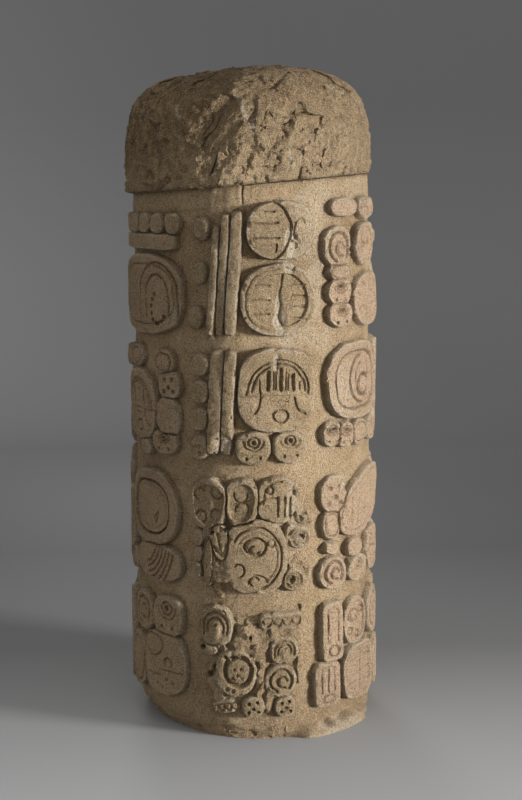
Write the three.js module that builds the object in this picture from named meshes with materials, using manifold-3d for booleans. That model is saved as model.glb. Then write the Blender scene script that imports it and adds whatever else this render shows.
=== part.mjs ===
// A carved limestone column: one round drum cut from a single stone. The lower shaft was dressed back
// to leave raised blocks of rounded lobes and bars, in four rows of six, and the top was left as a
// thicker, rough-topped cap with a slanting lower edge.
//
// Millimetres, +Z up. The origin is the middle of the flat underside. Angles run round the column in
// degrees from the front, which looks along -Y, and grow towards +X.

import * as THREE from "three";
import { mergeVertices } from "three/addons/utils/BufferGeometryUtils.js";
import Module from "manifold-3d";

const wasm = await Module();
wasm.setup();

// Sizes of the drum
const COLUMN_HEIGHT = 1500;
const SHAFT_RADIUS = 273;
const RELIEF_DEPTH = 18;
const FACETS = 32;

// The worn foot: the lower edge is rounded all round and broken away on one side
const FOOT_ROUND_HEIGHT = 34;
const FOOT_ROUND_DEPTH = 7;
const FOOT_BREAK_DEPTH = 26;
const FOOT_BREAK_ANGLE = -62;

// The cap: how far it stands out, where its lower edge is, and how that edge slants up to the right
const CAP_OVERHANG = 17;
const CAP_EDGE_HEIGHT = 1224;
const CAP_EDGE_SLANT = 21;
const CAP_STEP_HEIGHT = 7;
const CAP_SHIFT = -7;
const CAP_TOP_SLANT = 5;
const CAP_DOME_RINGS = 8;
const CAP_DOME_SQUARENESS = 3.1;
const CAP_WALL_SHARE = 0.3;

// The blocks: rows of lobes, evenly spaced round the shaft
const BLOCK_COLUMNS = 6;
const FIRST_COLUMN_ANGLE = 1;
const ROW_HEIGHTS = [1042, 742, 462, 176];
const WALL_DRAFT = 2.5;
const RIM_WIDTH = 19;
const RIM_RECESS = 6;

const faceRadius = SHAFT_RADIUS + RELIEF_DEPTH;
const capRadius = SHAFT_RADIUS + CAP_OVERHANG;
const mmPerDegree = THREE.MathUtils.degToRad(1) * faceRadius;
const columnPitch = 360 / BLOCK_COLUMNS;

const sin = (degrees) => Math.sin(THREE.MathUtils.degToRad(degrees));
const cos = (degrees) => Math.cos(THREE.MathUtils.degToRad(degrees));
const onDrum = (degrees, radius, z) => [radius * sin(degrees), -radius * cos(degrees), z];

// How near an angle is to a middle one: 1 there, falling smoothly to 0 at the given reach.
function nearness(angle, middle, reach) {
  const away = Math.abs(((angle - middle + 540) % 360) - 180);
  return away < reach ? 0.5 + 0.5 * cos((away / reach) * 180) : 0;
}

// A closed mesh as a solid that can be joined and cut.
function solidFrom(positions, triangles) {
  const geometry = new THREE.BufferGeometry();
  geometry.setAttribute("position", new THREE.Float32BufferAttribute(positions.flat(), 3));
  geometry.setIndex(triangles.flat());
  const merged = mergeVertices(geometry, 1e-3);
  const mesh = new wasm.Mesh({
    numProp: 3,
    vertProperties: merged.attributes.position.array,
    triVerts: new Uint32Array(merged.index.array),
  });
  return new wasm.Manifold(mesh);
}

// A drum from its rings: each ring is a function of the angle that gives a radius, a height and a
// sideways shift. The first and last rings close with a fan to a middle point, at crownHeight on top.
function drum(rings, facets, crownHeight) {
  const positions = [];
  const triangles = [];
  for (const ring of rings) {
    for (let k = 0; k < facets; k++) {
      const angle = (k * 360) / facets;
      const { radius, z, shift = 0 } = ring(angle);
      const [x, y] = onDrum(angle, radius, z);
      positions.push([x + shift, y, z]);
    }
  }
  for (let row = 0; row + 1 < rings.length; row++) {
    for (let k = 0; k < facets; k++) {
      const a = row * facets + k;
      const b = row * facets + ((k + 1) % facets);
      triangles.push([a, b, b + facets], [a, b + facets, a + facets]);
    }
  }
  const middleOf = (first) => {
    const ring = positions.slice(first, first + facets);
    return [0, 1, 2].map((axis) => ring.reduce((sum, p) => sum + p[axis], 0) / facets);
  };
  const top = (rings.length - 1) * facets;
  const bottomMiddle = positions.push(middleOf(0)) - 1;
  const [topX, topY, topZ] = middleOf(top);
  const topMiddle = positions.push([topX, topY, crownHeight ?? topZ]) - 1;
  for (let k = 0; k < facets; k++) {
    const next = (k + 1) % facets;
    triangles.push([bottomMiddle, next, k]);
    triangles.push([topMiddle, top + k, top + next]);
  }
  return solidFrom(positions, triangles);
}

// The foot's rings run up from the flat underside, drawn in where the edge is broken away.
function footRings() {
  const levels = [
    { rise: 0, drawIn: 1 },
    { rise: 0.3, drawIn: 0.45 },
    { rise: 1, drawIn: 0 },
  ];
  return levels.map(({ rise, drawIn }) => (angle) => {
    const broken = nearness(angle, FOOT_BREAK_ANGLE, 70);
    return {
      radius: SHAFT_RADIUS - drawIn * (FOOT_ROUND_DEPTH + FOOT_BREAK_DEPTH * broken),
      z: rise * FOOT_ROUND_HEIGHT * (1 + 0.9 * broken),
    };
  });
}

// The cap's lower edge climbs from the left side of the front to the right side.
const capEdge = (angle) => CAP_EDGE_HEIGHT + CAP_EDGE_SLANT * sin(angle);

// Rough spalls on the cap, each a shallow scoop: where it is, how far it reaches and how deep it goes.
const CAP_SPALLS = [
  { angle: -16, z: 1338, reach: 20, tall: 62, deep: 11 },
  { angle: 6, z: 1262, reach: 13, tall: 44, deep: 9 },
  { angle: -62, z: 1330, reach: 17, tall: 60, deep: 7 },
  { angle: 128, z: 1310, reach: 26, tall: 70, deep: 12 },
  { angle: 214, z: 1360, reach: 24, tall: 55, deep: 10 },
];

function spallDepth(angle, z) {
  return CAP_SPALLS.reduce((sum, spall) => {
    const upright = Math.max(0, 1 - ((z - spall.z) / spall.tall) ** 2);
    return sum + spall.deep * nearness(angle, spall.angle, spall.reach) * upright;
  }, 0);
}

// The cap's rings: a step out from the shaft, a short wall, then a dome with a square shoulder.
function capRings() {
  const rise = COLUMN_HEIGHT - CAP_EDGE_HEIGHT;
  const capRing = (inward, share) => (angle) => {
    const edge = capEdge(angle);
    const side = sin(angle) * (1 - inward);
    const top = COLUMN_HEIGHT + CAP_TOP_SLANT * (side - 1);
    const z = edge + (top - edge) * share;
    const radius = capRadius * (1 - inward) - spallDepth(angle, z) * (inward < 0.2 ? 1 : 0);
    return { radius, z, shift: CAP_SHIFT };
  };
  const rings = [
    (angle) => ({ radius: SHAFT_RADIUS, z: capEdge(angle) }),
    capRing(0.004, CAP_STEP_HEIGHT / rise),
    capRing(0, CAP_WALL_SHARE * 0.5),
    capRing(0.008, CAP_WALL_SHARE),
  ];
  for (let k = 1; k <= CAP_DOME_RINGS; k++) {
    const turn = (k / (CAP_DOME_RINGS + 0.6)) * 90;
    const inward = 1 - cos(turn) ** (2 / CAP_DOME_SQUARENESS);
    const up = sin(turn) ** (2 / (CAP_DOME_SQUARENESS - 0.9));
    rings.push(capRing(0.008 + 0.992 * inward, CAP_WALL_SHARE + (1 - CAP_WALL_SHARE) * up));
  }
  return rings;
}

// One lobe of a block: a rounded plate, placed right and up from the block's centre. A higher
// squareness gives a squarer plate, tilt leans its top to the right, and rim leaves a raised border
// round a sunk middle.
const lobe = (x, z, width, height, more = {}) => {
  return { x, z, width, height, squareness: 2.3, tilt: 0, rim: false, ...more };
};
const bar = (x, z, width, height, tilt = 0) => lobe(x, z, width, height, { squareness: 6, tilt });

// A row or stack of equal beads, from one place to another.
function beads(count, from, to, width, height) {
  return Array.from({ length: count }, (_, k) => {
    const share = count > 1 ? k / (count - 1) : 0;
    const x = from[0] + (to[0] - from[0]) * share;
    const z = from[1] + (to[1] - from[1]) * share;
    return lobe(x, z, width, height);
  });
}

// The designs of the blocks, each in millimetres from its own centre.
const DESIGNS = {
  reedsAndOvals: () => [
    ...beads(3, [-118, 88], [-136, -106], 36, 50),
    bar(-91, -24, 18, 238, 4.3),
    bar(-70, -11, 20, 262, 4.3),
    bar(-45, -8, 27, 268, 4.3),
    lobe(63, 83, 158, 127),
    lobe(56, -67, 172, 158, { rim: true }),
  ],
  reedsAndShield: () => [
    ...beads(4, [-124, 92], [-128, -90], 46, 50),
    bar(-86, 10, 27, 226, 3.6),
    bar(-58, 10, 25, 226, 3.6),
    lobe(51, 35, 178, 184, { squareness: 2.9 }),
    ...beads(2, [-6, -91], [78, -90], 80, 72),
  ],
  discsOverShield: () => [
    lobe(-107, 64, 92, 114),
    lobe(-33, 72, 80, 106),
    lobe(50, 75, 98, 102),
    lobe(8, -50, 134, 158, { squareness: 2.6, rim: true }),
    lobe(-72, -82, 56, 52),
    lobe(-78, -14, 36, 86, { tilt: -12 }),
    lobe(-111, -58, 30, 116, { tilt: 4 }),
    ...beads(3, [-136, -10], [-136, -88], 24, 34),
    ...beads(3, [104, -8], [80, -104], 52, 48),
  ],
  scrollCluster: () => [
    lobe(-91, 78, 88, 98),
    lobe(-112, 18, 50, 24),
    bar(42, 92, 146, 46),
    lobe(-20, 68, 44, 66),
    lobe(-50, -24, 112, 116, { rim: true }),
    lobe(66, 32, 66, 58),
    lobe(56, -36, 84, 72),
    lobe(-70, -96, 92, 42),
    ...beads(2, [-10, -98], [64, -98], 54, 52),
  ],
  stripAndOval: () => [
    lobe(-74, 130, 92, 42),
    lobe(-96, 43, 86, 92),
    lobe(-88, -12, 74, 42),
    ...beads(2, [-92, -56], [-88, -106], 76, 58),
    lobe(24, 128, 102, 50),
    lobe(16, 48, 104, 98),
    lobe(34, -80, 152, 120, { rim: true }),
  ],
  greatShield: () => [
    lobe(-22, 42, 222, 176, { squareness: 2.7, rim: true }),
    ...beads(2, [-116, -72], [-74, -76], 56, 56),
    lobe(-16, -78, 74, 58),
    lobe(50, -76, 62, 60),
    bar(114, 12, 46, 220),
  ],
  stripAndLeaf: () => [
    lobe(-112, 74, 80, 84),
    lobe(-122, 6, 54, 66),
    lobe(-122, -46, 38, 26),
    lobe(-116, -102, 84, 72),
    lobe(6, 44, 230, 132, { tilt: -22, squareness: 2 }),
    lobe(-44, -56, 60, 40),
    lobe(-34, -106, 84, 58),
    lobe(58, -76, 92, 104),
  ],
  pillarAndDiscs: () => [
    bar(-120, 52, 62, 132),
    bar(-134, -66, 72, 100),
    lobe(-42, 60, 88, 106),
    lobe(-24, -58, 132, 122, { squareness: 4, rim: true }),
    lobe(60, 62, 96, 108),
    lobe(88, -66, 74, 116, { squareness: 3 }),
  ],
  beadedBar: () => [
    ...beads(5, [110, 98], [-84, 98], 40, 46),
    bar(-10, 57, 262, 36),
    lobe(10, -60, 254, 180, { squareness: 2.7, rim: true }),
  ],
  ovalAndStack: () => [
    lobe(-26, -14, 156, 160, { rim: true }),
    lobe(80, 90, 64, 56),
    lobe(97, 42, 66, 62),
    lobe(90, -30, 74, 92),
    lobe(80, -86, 78, 54),
    ...beads(2, [-32, 96], [-90, 92], 58, 50),
    lobe(8, -106, 44, 36),
  ],
  ringOverFan: () => [
    lobe(20, 38, 198, 172, { rim: true }),
    lobe(44, -82, 164, 84, { squareness: 2.6 }),
    bar(-100, -20, 58, 170),
    lobe(-66, -98, 52, 52),
  ],
  boulders: () => [
    lobe(82, 84, 94, 88, { squareness: 3 }),
    lobe(-10, 80, 84, 92),
    lobe(64, -26, 146, 146, { squareness: 2.6 }),
    lobe(-44, -42, 94, 128),
    bar(-116, 0, 50, 214),
  ],
};

// Which design stands in each row, from the top, in each column of blocks, going round from the
// front. The three columns that face the back repeat the front's designs, without the small lobes.
const COLUMNS = [
  { designs: ["reedsAndOvals", "reedsAndShield", "discsOverShield", "scrollCluster"] },
  { designs: ["stripAndOval", "greatShield", "stripAndLeaf", "pillarAndDiscs"] },
  { designs: ["beadedBar", "discsOverShield", "greatShield", "ovalAndStack"], plain: true },
  { designs: ["reedsAndShield", "pillarAndDiscs", "ringOverFan", "boulders"], plain: true },
  { designs: ["stripAndOval", "beadedBar", "reedsAndOvals", "ringOverFan"], plain: true },
  { designs: ["beadedBar", "ovalAndStack", "ringOverFan", "boulders"] },
];
const PLAIN_SMALLEST_AREA = 7600;
const FLAT_FACE_WIDTH = 72;
const LARGE_LOBE = 122;

// A lobe's outline on the drum, as a superellipse in angle and height, grown by a margin.
function outline(centreAngle, centreZ, { x, z, width, height, squareness, tilt }, margin) {
  const size = Math.max(width, height);
  const count = squareness < 5 && size > LARGE_LOBE ? 12 : 8;
  const points = [];
  for (let k = 0; k < count; k++) {
    const turn = ((k + 0.5) * 360) / count;
    const bend = (value) => Math.sign(value) * Math.abs(value) ** (2 / squareness);
    const across = (width / 2 + margin) * bend(cos(turn));
    const up = (height / 2 + margin) * bend(sin(turn));
    const px = x + across * cos(tilt) + up * sin(tilt);
    const pz = z + up * cos(tilt) - across * sin(tilt);
    points.push({ angle: centreAngle + px / mmPerDegree, z: centreZ + pz });
  }
  return points;
}

// A prism that runs out from the column's axis, with its own outline at the inner and outer end.
function radialPrism(inner, outer, innerRadius, outerRadius) {
  const count = inner.length;
  const flat = inner.map(({ angle, z }) => new THREE.Vector2(angle * mmPerDegree, z));
  const faces = THREE.ShapeUtils.triangulateShape(flat, []);
  const positions = [
    ...inner.map(({ angle, z }) => onDrum(angle, innerRadius, z)),
    ...outer.map(({ angle, z }) => onDrum(angle, outerRadius, z)),
  ];
  const triangles = [];
  for (const [a, b, c] of faces) {
    triangles.push([a, c, b], [a + count, b + count, c + count]);
  }
  for (let k = 0; k < count; k++) {
    const next = (k + 1) % count;
    triangles.push([k, next, next + count], [k, next + count, k + count]);
  }
  return solidFrom(positions, triangles);
}

// A lobe as a radial prism, a little wider at its root than at its face. A narrow one ends in a flat
// face, and a wide one reaches further out, to be trimmed to the drum's curve.
const isNarrow = ({ width }) => width <= FLAT_FACE_WIDTH;
function lobePrism({ angle, z, piece }) {
  const root = outline(angle, z, piece, WALL_DRAFT);
  const end = outline(angle, z, piece, 0);
  const endRadius = isNarrow(piece) ? faceRadius : faceRadius * 1.2;
  return radialPrism(root, end, SHAFT_RADIUS - RELIEF_DEPTH, endRadius);
}

function rimPrism({ angle, z, piece }) {
  const sunk = outline(angle, z, piece, -RIM_WIDTH);
  return radialPrism(sunk, sunk, SHAFT_RADIUS - RELIEF_DEPTH, faceRadius * 1.2);
}

// A plain round drum between two heights, for trimming the blocks to their faces.
const roundDrum = (radius, low, high) => drum([low, high].map((z) => () => ({ radius, z })), FACETS);

function everyLobe() {
  return COLUMNS.flatMap(({ designs, plain }, column) => {
    const angle = FIRST_COLUMN_ANGLE + column * columnPitch;
    return designs.flatMap((name, row) => {
      const pieces = DESIGNS[name]();
      const kept = pieces.filter((p) => !plain || p.width * p.height > PLAIN_SMALLEST_AREA);
      return kept.map((piece) => {
        return { angle, z: ROW_HEIGHTS[row], piece: { ...piece, rim: piece.rim && !plain } };
      });
    });
  });
}

// The raised blocks: all lobes together, trimmed to the face, with the sunk middles cut out.
function blocks() {
  const lobes = everyLobe();
  const narrow = wasm.Manifold.union(lobes.filter((l) => isNarrow(l.piece)).map(lobePrism));
  const wide = wasm.Manifold.union(lobes.filter((l) => !isNarrow(l.piece)).map(lobePrism));
  const sunk = wasm.Manifold.union(lobes.filter((l) => l.piece.rim).map(rimPrism));
  const face = roundDrum(faceRadius, 1, CAP_EDGE_HEIGHT);
  const floor = roundDrum(faceRadius - RIM_RECESS, 0, CAP_EDGE_HEIGHT + 1);
  return wide.intersect(face).subtract(sunk.subtract(floor)).add(narrow);
}

function meshFrom(solid, name, material) {
  const { vertProperties, triVerts } = solid.getMesh();
  const geometry = new THREE.BufferGeometry();
  geometry.setAttribute("position", new THREE.BufferAttribute(vertProperties, 3));
  geometry.setIndex(new THREE.BufferAttribute(triVerts, 1));
  geometry.computeVertexNormals();
  const mesh = new THREE.Mesh(geometry, material);
  mesh.name = name;
  return mesh;
}

const limestone = new THREE.MeshStandardMaterial({ color: 0xa98f6c, roughness: 0.92, metalness: 0 });

const core = drum([...footRings(), ...capRings()], FACETS, COLUMN_HEIGHT);
const column = core.add(blocks());

const group = new THREE.Group();
group.add(meshFrom(column, "carved_column", limestone));

export default group;
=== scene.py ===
"""A carved limestone column: one weathered stone with raised blocks of lobes round its shaft.

The surface is a grid over the angle round the column and the height up it. How far each point stands
out is worked out with numpy from rounded lobes, the strokes cut into them, and the wear of the stone.
"""

import math

import bpy
import numpy as np
from mathutils import Euler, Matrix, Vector


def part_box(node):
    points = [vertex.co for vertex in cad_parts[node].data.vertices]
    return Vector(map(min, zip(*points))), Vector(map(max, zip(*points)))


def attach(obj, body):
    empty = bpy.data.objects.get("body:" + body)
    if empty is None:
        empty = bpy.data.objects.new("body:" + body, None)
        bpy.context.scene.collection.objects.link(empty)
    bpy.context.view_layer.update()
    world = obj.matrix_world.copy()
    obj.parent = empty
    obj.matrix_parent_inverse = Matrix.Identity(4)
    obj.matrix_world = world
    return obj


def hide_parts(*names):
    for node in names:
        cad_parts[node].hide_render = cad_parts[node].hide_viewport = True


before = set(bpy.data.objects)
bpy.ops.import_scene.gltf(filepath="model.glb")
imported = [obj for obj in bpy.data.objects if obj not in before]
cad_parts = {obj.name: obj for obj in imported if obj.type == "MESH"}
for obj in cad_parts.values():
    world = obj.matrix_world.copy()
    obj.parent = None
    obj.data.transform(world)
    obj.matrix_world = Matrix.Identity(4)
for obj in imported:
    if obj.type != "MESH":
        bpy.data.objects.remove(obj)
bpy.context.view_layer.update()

bl_info = {
    "name": "Carved stone column",
    "version": (1, 0, 0),
    "blender": (4, 5, 0),
    "location": "3D View > Sidebar > Column",
    "description": "Builds a weathered limestone column with raised carved blocks",
    "category": "Add Mesh",
}

COLUMN_NODE = "carved_column"
BODY = "root"
MM = 1000.0
cad_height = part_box(COLUMN_NODE)[1].z

# The layout of the blocks, in millimetres and degrees round the column from its front
ROW_HEIGHTS = (1042, 742, 462, 176)
BLOCK_COLUMNS = 6
FIRST_COLUMN_ANGLE = 1
PLAIN_SMALLEST_AREA = 2600

# The finished mesh, and how closely its front and its back are first surveyed
TRIANGLES = 194000
FRONT_STEP = 1.6
BACK_STEP = 3.2
FRONT_REACH = 100
THINNING_WEIGHT = 2.0
FOOT_ROWS, STEP_ROWS, WALL_ROWS, DOME_ROWS = 18, 8, 30, 120
SHARP_ANGLE = 50

# Millimetres to a degree round the blocks' faces and round the cap
FACE_MM_PER_DEGREE = math.radians(1) * 291
CAP_MM_PER_DEGREE = math.radians(1) * 290

# The break and the flake of the foot: their middle angles, how far they reach, and the flake's depth
FOOT_BREAK = (-62, 70)
FLAKE_ANGLE = 42
FLAKE_DEPTH = 29

# How a texture is drawn out upright, in streaks
STREAKED = np.array([1.0, 1.0, 0.16])


def smooth(value):
    """Rises from 0 to 1 as the value does, with level ends."""
    t = np.clip(value, 0, 1)
    return t * t * (3 - 2 * t)


def angle_apart(angle, middle):
    """The angle less the middle, in degrees, wrapped to the nearer way round."""
    return (angle - middle + 180) % 360 - 180


def nearness(angle, middle, reach):
    """1 at the middle angle, falling as a cosine to 0 at the reach."""
    away = np.clip(np.abs(angle_apart(angle, middle)) / reach, 0, 1)
    return 0.5 + 0.5 * np.cos(np.pi * away)


def lattice_value(x, y, z, seed):
    """A number from 0 to 1 for each whole-numbered point, from its coordinates mixed together."""
    mixed = x * np.uint32(374761393) + y * np.uint32(668265263) + z * np.uint32(2147483647)
    mixed = mixed + np.uint32((seed * 97 + 13) * 1274126177 & 0xFFFFFFFF)
    mixed = (mixed ^ (mixed >> np.uint32(13))) * np.uint32(1103515245)
    mixed = (mixed ^ (mixed >> np.uint32(16))) * np.uint32(2246822519)
    return ((mixed ^ (mixed >> np.uint32(15))) & np.uint32(0xFFFFFF)).astype(np.float32) / 0xFFFFFF


def around(radius, angle, z):
    """The points at a radius, an angle round from the front and a height."""
    turn = np.radians(angle)
    return np.stack([radius * np.sin(turn), -radius * np.cos(turn), z], -1)


def noise(points, size, seed):
    """Smooth noise from -1 to 1: random values on a lattice of that size, blended between its points."""
    scaled = points / size
    whole = np.floor(scaled)
    part = (scaled - whole).astype(np.float32)
    part = part * part * (3 - 2 * part)
    cell = whole.astype(np.int64).astype(np.uint32)
    total = 0
    for corner in range(8):
        dx, dy, dz = corner & 1, corner >> 1 & 1, corner >> 2
        weight = np.where(dx, part[..., 0], 1 - part[..., 0])
        weight = weight * np.where(dy, part[..., 1], 1 - part[..., 1])
        weight = weight * np.where(dz, part[..., 2], 1 - part[..., 2])
        x, y, z = cell[..., 0] + np.uint32(dx), cell[..., 1] + np.uint32(dy), cell[..., 2] + np.uint32(dz)
        total = total + weight * lattice_value(x, y, z, seed)
    return 2 * total - 1


def facets(points, size, seed):
    """Broken facets from about -1 to 1: each point takes its nearest scattered centre's tilted plane."""
    scaled = points / size
    whole = np.floor(scaled).astype(np.int64)
    nearest = np.full(points.shape[:-1], 9.0)
    value = np.zeros(points.shape[:-1])
    for step in np.ndindex(3, 3, 3):
        cell = whole + np.array(step) - 1
        hashed = cell.astype(np.uint32)
        parts = [lattice_value(hashed[..., 0], hashed[..., 1], hashed[..., 2], seed + k) for k in range(7)]
        offset = scaled - cell - np.stack(parts[:3], -1)
        apart = (offset**2).sum(-1)
        plane = (offset * (2 * np.stack(parts[3:6], -1) - 1)).sum(-1) + parts[6] - 0.5
        closer = apart < nearest
        value = np.where(closer, plane, value)
        nearest = np.minimum(nearest, apart)
    return value


def layered_noise(points, size, seed, layers=3):
    """Noise at a size, half of it at half the size, and so on."""
    return sum(noise(points, size / 2**k, seed + k) / 2**k for k in range(layers))


# Marks: each is a function of the place on a lobe, across and up from its centre, and of the distance
# in from its edge, and gives how deep the stone is cut there. Everything is in millimetres. Floors are
# added up, the deepest line wins, and bosses stand above the rest.
STROKE_WIDTH = 6.5
STROKE_DEPTH = 5.0
GATHER = {"floor": np.add, "line": np.maximum, "boss": np.minimum}


def groove(distance, width=STROKE_WIDTH, depth=STROKE_DEPTH):
    """A groove along the line where the distance is zero, steep at its sides and rounded below."""
    return depth * np.clip(1 - (np.abs(distance) / (0.5 * width)) ** 1.7, 0, 1) ** 0.8


def edge_line(inset, width=STROKE_WIDTH, depth=STROKE_DEPTH):
    """A groove that follows the lobe's edge at an inset."""
    return "line", lambda px, pz, d: groove(d - inset, width, depth)


def sunk(inset, depth=5.0, slope=2.5):
    """A floor lowered inside the inset, which leaves a rim."""
    return "floor", lambda px, pz, d: depth * smooth((d - inset) / slope)


def ring(cx, cz, rx, rz, width=STROKE_WIDTH, depth=STROKE_DEPTH):
    """A groove along an ellipse."""
    def mark(px, pz, d):
        share = np.hypot((px - cx) / rx, (pz - cz) / rz)
        return groove((share - 1) * min(rx, rz), width, depth)
    return "line", mark


def pit(cx, cz, radius, depth=8.0):
    """A drilled hole with a rounded floor."""
    def mark(px, pz, d):
        return depth * np.clip(1 - (np.hypot(px - cx, pz - cz) / radius) ** 2.5, 0, 1) ** 0.6
    return "line", mark


def boss(cx, cz, rx, rz, height=4.0):
    """A rounded swelling, as a cut of less than nothing."""
    def mark(px, pz, d):
        share = np.hypot((px - cx) / rx, (pz - cz) / rz)
        return -height * np.clip(1 - share**3, 0, 1) ** 0.6
    return "boss", mark


def stroke(x0, z0, x1, z1, width=STROKE_WIDTH, depth=STROKE_DEPTH):
    """A groove along a straight line from one place to another."""
    def mark(px, pz, d):
        along_x, along_z = x1 - x0, z1 - z0
        share = ((px - x0) * along_x + (pz - z0) * along_z) / (along_x**2 + along_z**2)
        share = np.clip(share, 0, 1)
        return groove(np.hypot(px - x0 - share * along_x, pz - z0 - share * along_z), width, depth)
    return "line", mark


def arc(cx, cz, rx, rz, start, end, width=STROKE_WIDTH, depth=STROKE_DEPTH):
    """A groove along part of an ellipse, from a start angle anticlockwise to an end angle."""
    middle, half = (start + end) / 2, (end - start) / 2
    def mark(px, pz, d):
        share = np.hypot((px - cx) / rx, (pz - cz) / rz)
        turn = np.degrees(np.arctan2((pz - cz) / rz, (px - cx) / rx))
        past = np.clip(np.abs(angle_apart(turn, middle)) - half, 0, 180)
        off = np.radians(past) * min(rx, rz)
        return groove(np.hypot((share - 1) * min(rx, rz), off), width, depth)
    return "line", mark


# Motifs: each gives the marks for a lobe of a width and a height. They are plain patterns of strokes,
# rings and holes, and spell nothing.


def bare(w, h):
    """An uncut face."""
    return []


def lined(w, h):
    """A line inside the edge."""
    return [edge_line(0.15 * min(w, h), 5.5, 4)]


def eyelet(w, h):
    """A ring round a drilled hole over a bow, with two small holes below."""
    r = 0.17 * min(w, h)
    holes = [pit(side * 0.19 * w, -0.28 * h, 0.055 * w, 5.5) for side in (-1, 1)]
    bow = arc(0, 0.2 * h, 1.8 * r, 1.55 * r, 175, 365, 5, 3.6)
    return [ring(0, 0.2 * h, r, 0.9 * r, 5.5), pit(0, 0.2 * h, 0.38 * r + 1), bow, *holes]


def comb(teeth):
    """Upright slots under a double arch, over two bows and a small ring."""
    def marks(w, h):
        arches = [arc(0.01 * w, 0, 0.335 * w * s, 0.31 * h * s, 0, 180, 5.5, 4.5) for s in (1, 1.16)]
        places = np.linspace(-0.13, 0.19, teeth - 1)
        slots = [stroke(x * w, 0.02 * h, x * w, (0.25 - 1.7 * x * x) * h, 0.06 * w, 7) for x in places]
        gaps = np.diff(places)
        between = [-0.24, *(places[:-1] + 0.42 * gaps), *(places[:-1] + 0.6 * gaps), 0.27]
        lines = [stroke(x * w, 0.02 * h, x * w, (0.24 - 1.9 * x * x) * h, 4.5, 3.5) for x in between]
        legs = [stroke(s * 0.39 * w, 0, s * 0.39 * w, -0.05 * h, 5.5) for s in (-1, 1)]
        level = stroke(-0.48 * w, -0.055 * h, 0.48 * w, -0.055 * h, 5, 3)
        bows = []
        for s, start in ((-1, 300), (1, 180)):
            bows.append(arc(s * 0.36 * w, -0.08 * h, 0.15 * w, 0.2 * h, start, start + 90, 6))
        below = [ring(0.03 * w, -0.3 * h, 0.1 * w, 0.075 * h, 6)]
        below.append(stroke(-0.07 * w, -0.12 * h, 0.12 * w, -0.12 * h, 4, 3))
        return [*arches, *slots, *lines, *legs, level, *bows, *below]
    return marks


def leaf(left, right):
    """A wavering midrib with short ribs on both sides, sunk inside a rim."""
    def marks(w, h):
        inset = 0.13 * min(w, h)
        turns = ((0.05, 0.34), (0.03, 0.2), (0.0, 0.08), (0.02, -0.08), (-0.01, -0.22), (0.03, -0.34))
        midrib = [stroke(a * w, b * h, c * w, d * h, 6, 4) for (a, b), (c, d) in zip(turns, turns[1:])]
        left_places, right_places = np.linspace(-0.2, 0.2, left), np.linspace(-0.27, 0.2, right)
        ribs = [stroke(-0.35 * w, z * h, -0.12 * w, (z + 0.02) * h, 5, 3.5) for z in left_places]
        ribs += [stroke(0.17 * w, (z + 0.02) * h, 0.36 * w, z * h, 5, 4) for z in right_places]
        return [sunk(inset, 5.5), edge_line(inset * 0.55, 4, 2), *midrib, *ribs]
    return marks


def crescent(w, h):
    """A curved line that parts the lobe in two, with level strokes on one side."""
    parting = arc(-0.42 * w, 0, 0.54 * w, 0.6 * h, -58, 58, 8, 6)
    strokes = [stroke(-0.4 * w, z * h, -0.05 * w, (z + 0.01) * h, 6, 5) for z in (-0.13, 0.13)]
    short = [stroke(-0.09 * w, -0.36 * h, -0.09 * w, -0.23 * h, 5)]
    short.append(stroke(-0.24 * w, 0.32 * h, -0.1 * w, 0.33 * h, 5))
    return [parting, *strokes, *short, arc(0.27 * w, 0, 0.1 * w, 0.2 * h, 40, 260, 5, 3.5)]


def rimmed(w, h):
    """A groove inside a broad rim, and a second line and a small crack on the lowered middle."""
    inset = 0.15 * min(w, h)
    crack = [stroke(0.1 * w, -0.12 * h, 0.17 * w, -0.05 * h, 5, 4)]
    crack.append(stroke(0.17 * w, -0.05 * h, 0.13 * w, -0.2 * h, 5, 4))
    return [edge_line(inset, 7, 8), sunk(inset, 3.5, 1.2), edge_line(1.5 * inset, 4.5, 2), *crack]


def hemmed(w, h):
    """Bands one inside another down the left, a lens, a column of small holes and slanting strokes."""
    bands = [edge_line(0.14 * h, 8, 8), sunk(0.15 * h, 3, 1.5)]
    bands.append(arc(0.05 * w, 0, 0.21 * w, 0.3 * h, 90, 275, 8, 8))
    bands.append(arc(0.07 * w, 0, 0.13 * w, 0.2 * h, 100, 260, 6, 6))
    lens = [arc(0.1 * w, -0.08 * h, 0.11 * w, 0.13 * h, 20, 330, 10, 11)]
    lens.append(boss(0.1 * w, -0.08 * h, 0.07 * w, 0.08 * h, 4))
    holes = [pit(0.21 * w, z * h, 5, 9) for z in np.linspace(0.06, 0.38, 6)]
    slants = [stroke(x * w, -0.2 * h, (x + 0.06) * w, -0.3 * h, 5, 4) for x in (0.08, 0.17, 0.26)]
    return [*bands, *lens, *holes, *slants, arc(0.28 * w, 0.16 * h, 0.08 * w, 0.14 * h, 60, 280, 6)]


def browed(w, h):
    """A bright rim round the right, a ringed boss, and smaller rings and half rings on a broad face."""
    sizes = ((0.4, 6.5, 5), (0.33, 5, 2))
    rim = [arc(0, -0.01 * h, s * w, (s + 0.01) * h, -80, 150, wide, deep) for s, wide, deep in sizes]
    rings = [ring(-0.02 * w, 0.13 * h, 0.17 * w, 0.125 * h, 7, 6)]
    rings.append(ring(0.24 * w, 0.18 * h, 0.065 * w, 0.055 * h, 5))
    hook = arc(-0.03 * w, 0.09 * h, 0.08 * w, 0.06 * h, 100, 330, 5.5)
    bows = [arc(-0.27 * w, -0.19 * h, 0.09 * w, 0.08 * h, -70, 130, 6)]
    bows.append(arc(0.02 * w, -0.36 * h, 0.14 * w, 0.11 * h, 0, 180, 6))
    bows.append(arc(-0.03 * w, -0.33 * h, 0.07 * w, 0.06 * h, 20, 240, 5))
    return [*rim, *rings, hook, boss(-0.01 * w, 0.14 * h, 0.13 * w, 0.09 * h, 2.5), *bows]


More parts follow.
